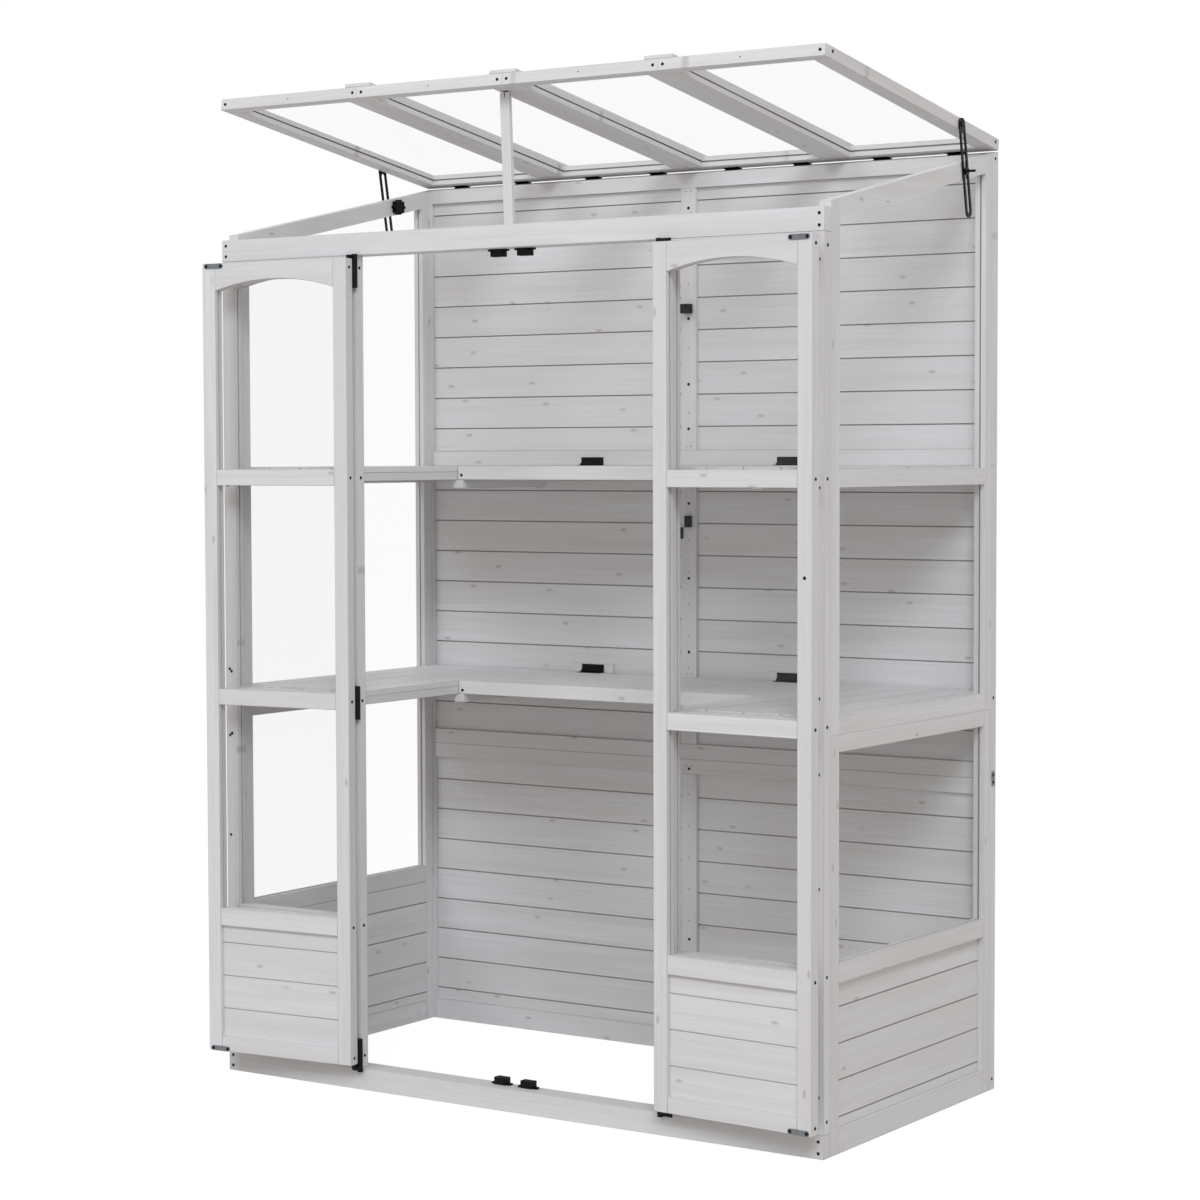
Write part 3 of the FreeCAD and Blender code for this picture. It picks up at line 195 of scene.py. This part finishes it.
def soft_lamp(name, place, power):
    """A square area lamp at a place, turned to the object."""
    lamp = bpy.data.objects.new(name, bpy.data.lights.new(name, "AREA"))
    lamp.data.size = LAMP_WIDTH
    lamp.data.energy = power
    lamp.data.color = linear(LAMP_COLOUR)[:3]
    turn = (Vector(LIT_PLACE) - Vector(place)).to_track_quat("-Z", "Y").to_matrix().to_4x4()
    lamp.matrix_world = Matrix.Translation(place) @ turn
    bpy.context.scene.collection.objects.link(lamp)
    return lamp


key_lamp = soft_lamp("key_lamp", (9.4, -12.6, 13.0), 1620)
fill_lamp = soft_lamp("fill_lamp", (-6.0, -14.5, 13.0), 720)
bpy.context.scene.view_settings.view_transform = "Standard"
print("lamps:", key_lamp.data.energy, "W and", fill_lamp.data.energy, "W")

# %% [markdown]
# ## Whitewashed softwood
#
# Every stick is planed spruce under a thin white glaze. The glaze evens the colour out but lets the
# figure through: long faint streaks along the stick, wider soft bands, and here and there a knot that
# stains the white grey-brown. The grain has to run along each stick, whichever way the stick points, so
# the pattern reads an attribute named `grain` that holds each point's place along, across and through
# its own stick, in metres. The scales of the Mapping nodes are therefore counts per metre.

# %% Figure of the wood
whitewash, tree, out = material("whitewashed_spruce")
grain = add(tree, "Attribute", attribute_name="grain")

# Soft bands are about 40 mm wide and a metre long.
band_place = add(tree, "Mapping", {"Vector": grain.outputs["Vector"], "Scale": (1.1, 26, 26)})
bands = add(tree, "TexNoise", {"Vector": band_place.outputs[0], "Scale": 1.0, "Detail": 3.0,
                               "Distortion": 0.6})
band_mask = add(tree, "MapRange", {"Value": bands.outputs[0], "From Min": 0.38, "From Max": 0.68})

# Growth rings are 1 to 2 mm apart. Lines that fine are lost in the render, so these are 3 mm apart.
streak_place = add(tree, "Mapping", {"Vector": grain.outputs["Vector"], "Scale": (5, 300, 300)})
streaks = add(tree, "TexNoise", {"Vector": streak_place.outputs[0], "Scale": 1.0, "Detail": 3.0})
streak_mask = add(tree, "MapRange", {"Value": streaks.outputs[0], "From Min": 0.45, "From Max": 0.75})
print("figure of the wood has", len(tree.nodes), "nodes")

# %% Knots
# One cell of this pattern is 110 mm along by 45 mm across, and about one in five holds a knot. It is
# flat, so a knot goes right through a board.
knot_place = add(tree, "Mapping", {"Vector": grain.outputs["Vector"], "Scale": (9, 22, 22)})
knots = add(tree, "TexVoronoi", {"Vector": knot_place.outputs[0], "Scale": 1.0, "Randomness": 1.0},
            voronoi_dimensions="2D")
knot_choice = add(tree, "SeparateColor", {"Color": knots.outputs["Color"]})
has_knot = add(tree, "MapRange", {"Value": knot_choice.outputs[0], "From Min": 0.78, "From Max": 0.84})
knot_spot = add(tree, "MapRange", {"Value": knots.outputs["Distance"], "From Min": 0.02, "From Max": 0.12,
                                   "To Min": 1.0, "To Max": 0.0}, interpolation_type="SMOOTHSTEP")
knot = add(tree, "Math", {0: has_knot.outputs[0], 1: knot_spot.outputs[0]}, operation="MULTIPLY")
print("with knots it has", len(tree.nodes), "nodes")

# %% Colour of the glazed wood
STREAK_PART = 0.4
KNOT_PART = 0.6
CORNER_PART = 0.45
# How much dark brown is painted into the seams between the boards as shade.
SEAM_SHADE_PART = 0.8

tone = add(tree, "Attribute", attribute_name="tone")
edge = add(tree, "Attribute", attribute_name="edge")
light_wash = add(tree, "Mix", {0: tone.outputs["Fac"], 6: linear("#E0E1E2"), 7: linear("#DADADB")},
                 data_type="RGBA")
banded = add(tree, "Mix", {0: band_mask.outputs[0], 6: light_wash.outputs[2], 7: linear("#D7D5D4")},
             data_type="RGBA")
streak_part = add(tree, "Math", {0: streak_mask.outputs[0], 1: STREAK_PART}, operation="MULTIPLY")
streaked = add(tree, "Mix", {0: streak_part.outputs[0], 6: banded.outputs[2], 7: linear("#CAC7C5")},
               data_type="RGBA")
knot_part = add(tree, "Math", {0: knot.outputs[0], 1: KNOT_PART}, operation="MULTIPLY")
knotted = add(tree, "Mix", {0: knot_part.outputs[0], 6: streaked.outputs[2], 7: linear("#A99F9A")},
              data_type="RGBA")
corner_part = add(tree, "Math", {0: edge.outputs["Fac"], 1: CORNER_PART}, operation="MULTIPLY")
worn = add(tree, "Mix", {0: corner_part.outputs[0], 6: knotted.outputs[2], 7: linear("#B9B3B0")},
           data_type="RGBA")
# Edge value 1 is a frame's softened corner, 2 is the narrow groove between two boards, where dark brown is
# painted in as the shade that falls there.
seam_shade = add(tree, "MapRange", {"Value": edge.outputs["Fac"], "From Min": 1.0, "From Max": 2.0,
                                "To Max": SEAM_SHADE_PART})
seam_shaded = add(tree, "Mix", {0: seam_shade.outputs[0], 6: worn.outputs[2], 7: linear("#5E5652")},
              data_type="RGBA")
print("with its colours it has", len(tree.nodes), "nodes")

# %% Sheen and relief of the glazed wood
dry = add(tree, "MapRange", {"Value": bands.outputs[0], "To Min": 0.48, "To Max": 0.62})
rough = add(tree, "Bump", {"Height": streaks.outputs[0], "Strength": 0.35, "Distance": 0.0004})
surface = add(tree, "BsdfPrincipled", {"Base Color": seam_shaded.outputs[2], "Roughness": dry.outputs[0],
                                       "Normal": rough.outputs[0], "IOR": 1.5})
tree.links.new(surface.outputs[0], out.inputs["Surface"])
print("whitewash has", len(tree.nodes), "nodes")

# %% [markdown]
# ## Softened sticks
#
# Planed timber has its corners taken off by a millimetre or so, which is what makes its edges catch the
# light. A CAD node is left alone, so each timber node gets a copy. The copy's triangles come one stick
# after another, and a stick is whole as soon as each of its triangle edges has met its other side. That
# splits the node into sticks, even where two sticks touch. Each stick is then merged, its flat faces are
# joined, its corners are bevelled, and its points learn where they lie along the grain.

# %% Split a node into its sticks
def sticks_of(bm):
    """The faces of each separate stick, in order."""
    groups, group, waiting = [], [], set()
    for face in bm.faces:
        corners = [tuple(round(c, 6) for c in v.co) for v in face.verts]
        group.append(face)
        for start, end in zip(corners, corners[1:] + corners[:1]):
            if (end, start) in waiting:
                waiting.remove((end, start))
            else:
                waiting.add((start, end))
        if not waiting:
            groups.append(group)
            group = []
    return groups + ([group] if group else [])


front_rail = bmesh.new()
front_rail.from_mesh(frame["nodes"]["front_top_rail"].data)
print("sticks in the front's top rail:", len(sticks_of(front_rail)))
front_rail.free()

# %% Soften one node
# Faces that meet at less than FLAT become one, edges sharper than SHARP get a softened corner, and faces
# that meet at less than SMOOTH shade as one surface.
FLAT = math.radians(0.5)
SHARP = math.radians(35)
SMOOTH = math.radians(20)
SAME_POINT = 0.000002
GRAIN_SPREAD = 40


def softened(node_name, body, turn, radius, edge_value):
    """A copy of a CAD node with softened corners and a grain attribute, in place of the node."""
    bm = bmesh.new()
    bm.from_mesh(frame["nodes"][node_name].data)
    grain_layer = bm.verts.layers.float_vector.new("grain")
    tone_layer = bm.faces.layers.float.new("tone")
    edge_layer = bm.faces.layers.float.new("edge")
    bm.faces.ensure_lookup_table()
    chance = random.Random(node_name)
    upright = turn.inverted()
    for group in sticks_of(bm):
        corners = list(dict.fromkeys(v for face in group for v in face.verts))
        places = [upright @ v.co for v in corners]
        low = [min(p[i] for p in places) for i in range(3)]
        high = [max(p[i] for p in places) for i in range(3)]
        order = sorted(range(3), key=lambda i: low[i] - high[i])
        shift = Vector([chance.uniform(0, GRAIN_SPREAD) for _ in range(3)])
        shade = chance.random()
        for v, place in zip(corners, places):
            v[grain_layer] = Vector([place[i] for i in order]) + shift
        for face in group:
            face[tone_layer] = shade
            face.material_index = 0
        bmesh.ops.remove_doubles(bm, verts=corners, dist=SAME_POINT)
    bmesh.ops.dissolve_limit(bm, angle_limit=FLAT, verts=bm.verts, edges=bm.edges)
    corners = [e for e in bm.edges if len(e.link_faces) == 2 and e.calc_face_angle(0) > SHARP]
    rounded = bmesh.ops.bevel(bm, geom=corners, offset=radius, offset_type="OFFSET", segments=2, profile=0.5,
                              affect="EDGES", clamp_overlap=True, material=-1)
    for face in rounded["faces"]:
        face[edge_layer] = edge_value
    for face in bm.faces:
        face.smooth = True
    for e in bm.edges:
        e.smooth = len(e.link_faces) == 2 and e.calc_face_angle(0) < SMOOTH
    piece = linked_object(bm, node_name + "_softened", whitewash)
    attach(piece, body)
    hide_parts(node_name)
    return piece


print("corners over", round(math.degrees(SHARP)), "degrees are softened")

# %% Soften every timber node
FRAME_RADIUS = 0.0012
BOARD_RADIUS = 0.0006
CORNER_VALUE = 1.0
SEAM_SHADE_VALUE = 1.75
LID_TILT = Matrix.Rotation(math.radians(-8.715), 4, "X")
# How far the sticks of each of these bodies stand turned from the frame at rest.
BODY_TURNS = {"left_door": Matrix.Rotation(math.radians(5), 4, "Z"),
              "right_door": Matrix.Rotation(math.radians(-3.5), 4, "Z"),
              "prop": Matrix.Rotation(math.radians(2.8), 4, "X"),
              "lid": LID_TILT}

body_of_node = {n: body for body, nodes in frame["record"]["behaviour"]["bodies"].items() for n in nodes}
slot_of_node = {part["node"]: part["material_slot"] for part in frame["record"]["subparts"]}
timber = [n for n, slot in slot_of_node.items() if slot == "white_wood"]
made = 0
for name in timber:
    body = body_of_node[name]
    radius = BOARD_RADIUS if "boards" in name else FRAME_RADIUS
    # Wall boards take the value that paints dark shade into their seams.
    edge_value = SEAM_SHADE_VALUE if "wall" in name and "boards" in name else CORNER_VALUE
    piece = softened(name, body, BODY_TURNS.get(body, Matrix()), radius, edge_value)
    made += len(piece.data.polygons)
print(len(timber), "timber nodes softened,", made, "faces")

# %% [markdown]
# ## Clear sheets
#
# The panes are clear plastic sheet, almost invisible except for a faint grey veil and a sheen that grows
# towards grazing angles. Real refraction in a 3 mm sheet barely shifts what is behind it, so the sheet is
# mostly see-through instead, and light still reaches the inside.

# %% Clear sheet
clear_sheet, tree, out = material("clear_acrylic_sheet")
facing = add(tree, "LayerWeight", {"Blend": 0.5})
grazing = add(tree, "Math", {0: facing.outputs["Facing"], 1: 4.0}, operation="POWER")
cover = add(tree, "MapRange", {"Value": grazing.outputs[0], "To Min": 0.02, "To Max": 0.06})
ripple_place = add(tree, "TexCoord")
# Pressed sheet is wavy over about 140 mm.
ripple = add(tree, "TexNoise", {"Vector": ripple_place.outputs["Object"], "Scale": 7.0, "Detail": 1.0})
wavy = add(tree, "Bump", {"Height": ripple.outputs[0], "Strength": 0.08, "Distance": 0.002})
surface = add(tree, "BsdfPrincipled", {"Base Color": linear("#8F9192"), "Roughness": 0.04, "IOR": 1.49,
                                       "Alpha": cover.outputs[0], "Normal": wavy.outputs[0]})
tree.links.new(surface.outputs[0], out.inputs["Surface"])
print("clear sheet has", len(tree.nodes), "nodes")

# %% [markdown]
# ## Painted shadows in the pane grooves
#
# A pane sits in a groove of the stiles. From the side, the shade in that groove shows as a thin dark line on
# the stile.
# The CAD panes give the place: each has two upright sides, and a narrow dark bar of painted shadow covers
# both.

# %% Painted shadow of the grooves
groove_shadow_paint, tree, out = material("painted_groove_shadow")
place = add(tree, "TexCoord")
# Blotches in the painted shadow are about 17 mm across.
shadow_blotch = add(tree, "TexNoise", {"Vector": place.outputs["Object"], "Scale": 60.0, "Detail": 2.0})
# The dark browns are painted shade, standing where the groove beside the pane lies in shadow.
blotched_shadow = add(tree, "Mix", {0: shadow_blotch.outputs[0], 6: linear("#4E4642"), 7: linear("#716762")},
              data_type="RGBA")
surface = add(tree, "BsdfPrincipled", {"Base Color": blotched_shadow.outputs[2], "Roughness": 0.8})
tree.links.new(surface.outputs[0], out.inputs["Surface"])
print("groove wood has", len(tree.nodes), "nodes")

# %% Painted shadow lines where the panes meet the stiles
SHADOW_BAR_WIDTH = 0.0036
SHADOW_BAR_DEPTH = 0.0010
AT_THE_END = 0.0001


def groove_shadow_bars(node_name, body, along, across):
    """Bars of painted shadow on the upright sides of a node's panes, each wide along one axis and thin
    across another.
    """
    turn = BODY_TURNS.get(body, Matrix())
    panes = bmesh.new()
    panes.from_mesh(frame["nodes"][node_name].data)
    bars = bmesh.new()
    count = 0
    for group in sticks_of(panes):
        places = [turn.inverted() @ v.co for face in group for v in face.verts]
        middle = sum(place[across] for place in places) / len(places)
        for end in (min(place[along] for place in places), max(place[along] for place in places)):
            heights = [place.z for place in places if abs(place[along] - end) < AT_THE_END]
            centre = Vector((0, 0, (min(heights) + max(heights)) / 2))
            centre[along], centre[across] = end, middle
            lengths = Vector((0, 0, max(heights) - min(heights)))
            lengths[along], lengths[across] = SHADOW_BAR_DEPTH, SHADOW_BAR_WIDTH
            stand = turn @ Matrix.Translation(centre) @ Matrix.Diagonal((*lengths, 1))
            bmesh.ops.create_cube(bars, size=1, matrix=stand)
            count += 1
    panes.free()
    piece = linked_object(bars, node_name + "_painted_groove_shadows", groove_shadow_paint)
    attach(piece, body)
    return count


made = groove_shadow_bars("front_panel_panes", "greenhouse", 0, 1)
made += groove_shadow_bars("side_wall_panes", "greenhouse", 1, 0)
for body in ("left_door", "right_door"):
    made += groove_shadow_bars(body + "_panes", body, 0, 1)
print(made, "groove lines")

# %% [markdown]
# ## Metal and moulded fittings
#
# The hinges, stays and screws are mild steel under a thin black coat: dark, a little glossy, with a fine
# orange-peel that breaks up the highlights. The strike plates and joining plates are zinc-plated, a pale
# grey metal with soft cloudy patches. The knobs and catches are moulded black nylon, a bit duller.

# %% Fittings
CLOUD_SCALE = 0.08
GLOSS_SPREAD = 0.08
RELIEF_DEPTH = 0.0003


def fitting(name, colour, other, metallic, roughness, grain_size, bump, shine=0.5):
    """A coated or plated surface with a fine texture of a grain size in metres."""
    made, tree, out = material(name)
    place = add(tree, "TexCoord")
    fine = add(tree, "TexNoise", {"Vector": place.outputs["Object"], "Scale": 1 / grain_size, "Detail": 2.0})
    cloud = add(tree, "TexNoise", {"Vector": place.outputs["Object"], "Scale": CLOUD_SCALE / grain_size})
    mixed = add(tree, "Mix", {0: cloud.outputs[0], 6: linear(colour), 7: linear(other)}, data_type="RGBA")
    gloss = add(tree, "MapRange", {"Value": cloud.outputs[0], "To Min": roughness - GLOSS_SPREAD,
                                   "To Max": roughness + GLOSS_SPREAD})
    relief = add(tree, "Bump", {"Height": fine.outputs[0], "Strength": bump, "Distance": RELIEF_DEPTH})
    surface = add(tree, "BsdfPrincipled", {"Base Color": mixed.outputs[2], "Metallic": metallic,
                                           "Roughness": gloss.outputs[0], "Normal": relief.outputs[0],
                                           "Specular IOR Level": shine})
    tree.links.new(surface.outputs[0], out.inputs["Surface"])
    return made


black_coat = fitting("black_powder_coated_steel", "#0A0A0B", "#101011", 0.0, 0.42, 0.0012, 0.25, 0.16)
zinc = fitting("zinc_plated_steel", "#85898C", "#676B6F", 1.0, 0.38, 0.0008, 0.10)
black_nylon = fitting("moulded_black_nylon", "#0A0A0A", "#0F0F0F", 0.0, 0.52, 0.0015, 0.30, 0.14)
finishes = {"clear_pane": clear_sheet, "black_metal": black_coat, "bright_steel": zinc,
            "black_plastic": black_nylon}
for name, slot in slot_of_node.items():
    if slot in finishes:
        cad_object = frame["nodes"][name]
        cad_object.data.materials.clear()
        cad_object.data.materials.append(finishes[slot])
print("fittings finished:", sum(slot in finishes for slot in slot_of_node.values()))

# %% [markdown]
# ## Screws and nails
#
# The CAD model has the large screws on the outside. The frame joints are held by a screw in each edge of
# a stile, the boards by thin nails, and the plates by countersunk screws. Every one is a short cone on a
# surface. The doors are drawn shut and the lid lies flat in its own frame, so each body gets the move
# that takes a place there, in millimetres, to where the object stands open.

# %% Moves to the open pose
def about(place, degrees, axis):
    """A turn about an axis through a place in millimetres."""
    middle = Matrix.Translation(Vector(place) / 1000)
    return middle @ Matrix.Rotation(math.radians(degrees), 4, axis) @ middle.inverted()


PIN_Y = -20.7
LID_PLACE = (0, 0.7043, 1.91011)
MOVES = {"greenhouse": Matrix(),
         "lower_back_shelf": Matrix(),
         "upper_back_shelf": Matrix(),
         "left_door": about((-362, PIN_Y, 0), -175, "Z"),
         "right_door": about((366.7, PIN_Y, 0), 176.5, "Z"),
         "lid": Matrix.Translation(LID_PLACE) @ LID_TILT}
FACINGS = {"+x": Matrix.Rotation(math.pi / 2, 4, "Y"), "-x": Matrix.Rotation(-math.pi / 2, 4, "Y"),
           "+y": Matrix.Rotation(-math.pi / 2, 4, "X"), "-y": Matrix.Rotation(math.pi / 2, 4, "X")}
print("moves ready for", sorted(MOVES))

# %% Heads of screws and nails
HEAD_HEIGHT = 0.0008
HEAD_RAISE = 0.0001
HEAD_TOP = 0.9
SCREW = (0.0035, black_coat, "black_metal")
PLATE_SCREW = (0.0038, black_coat, "black_metal")
BOARD_NAIL = (0.0024, black_coat, "black_metal")
NAIL = (0.0013, black_coat, "black_metal")


def heads(name, body, places, facing, radius, finish, slot):
    """Low cones on a face, their bases a little under it, one for each place in millimetres."""
    bm = bmesh.new()
    raised = Matrix.Translation((0, 0, HEAD_RAISE))
    for place in places:
        stand = Matrix.Translation(Vector(place) / 1000) @ FACINGS[facing]
        bmesh.ops.create_cone(bm, cap_ends=True, segments=16, radius1=radius, radius2=radius * HEAD_TOP,
                              depth=HEAD_HEIGHT, matrix=MOVES[body] @ stand @ raised)
    piece = linked_object(bm, name, finish)
    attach(piece, body)
    return len(places)


print("a screw's head is", SCREW[0] * 2000, "mm across, a thin nail's", NAIL[0] * 2000, "mm")

# %% Screws in doors and front panels
RAIL_HEIGHTS = (69, 338, 800, 1255, 1680)
STILE_MIDDLE_Y = -3
made = 0
for body, near, far in (("left_door", -360, -4), ("right_door", 4, 360)):
    for side, x, facing in (("left", near, "-x"), ("right", far, "+x")):
        places = [(x, STILE_MIDDLE_Y, z) for z in RAIL_HEIGHTS]
        made += heads(f"{body}_edge_screws_{side}", body, places, facing, *SCREW)
for name, x, facing in (("left_outer", -720, "-x"), ("left_jamb", -364, "+x"), ("right_jamb", 364, "-x"),
                        ("right_outer", 720, "+x")):
    places = [(x, STILE_MIDDLE_Y, z) for z in RAIL_HEIGHTS]
    made += heads(name + "_edge_screws", "greenhouse", places, facing, *SCREW)
made += heads("right_door_face_screw", "right_door", [(20, 9, 1076)], "+y", *SCREW)
made += heads("left_panel_face_screws", "greenhouse", [(-704, -15, z) for z in (717, 848)], "-y", *SCREW)
print(made, "screws in doors and front panels")

# %% Screws of the strike plates
FROM_PLATE_END = 5.5
made = 0
for body, low, high in (("left_door", -56, -9), ("right_door", 9, 56)):
    places = [(x, 10, z) for z in (60.2, 1691.7) for x in (low + FROM_PLATE_END, high - FROM_PLATE_END)]
    made += heads(body + "_strike_screws", body, places, "+y", *PLATE_SCREW)
print(made, "strike plate screws")

# %% Screws and nails of the walls and shelves
BATTEN_Y = 674
NAIL_STEP = 69
NAIL_CLEARANCE = 12
batten = [(0, BATTEN_Y, z) for z in (246, 619, 873, 1033, 1195, 1356, 1452, 1593, 1830)]
pairs = [(x, BATTEN_Y, z) for z in (20, 625, 826, 1318, 1866) for x in (-6, 6)]
taken = [z for _, _, z in batten + pairs]
steps = [z for z in range(80, 1860, NAIL_STEP) if all(abs(z - other) > NAIL_CLEARANCE for other in taken)]
made = heads("batten_screws", "greenhouse", batten, "-y", *SCREW)
made += heads("batten_nails", "greenhouse", [(0, BATTEN_Y, z) for z in steps] + pairs, "-y", *NAIL)
for body, z in (("lower_back_shelf", 798), ("upper_back_shelf", 1258)):
    made += heads(body + "_screws", body, [(x, 337, z) for x in (-361, 361)], "-y", *SCREW)
for name, x, facing in (("left", -708, "-x"), ("right", 708, "+x")):
    places = [(x, 651, z) for z in (64, 133, 202, 271)]
    made += heads(name + "_side_board_nails", "greenhouse", places, facing, *BOARD_NAIL)
print(made, "screws and nails in the back wall, shelves and side walls")

# %% Nails and screws of the lid
made = heads("lid_nails", "lid", [(x, -727.3, 12) for x in (-540, -180, 180, 540)], "-y", *NAIL)
for name, x, facing in (("lid_side_screws", 720, "+x"), ("lid_left_side_screws", -720, "-x")):
    made += heads(name, "lid", [(x, y, 15) for y in (-700, -19)], facing, *SCREW)
print(made, "nails and screws in the lid")
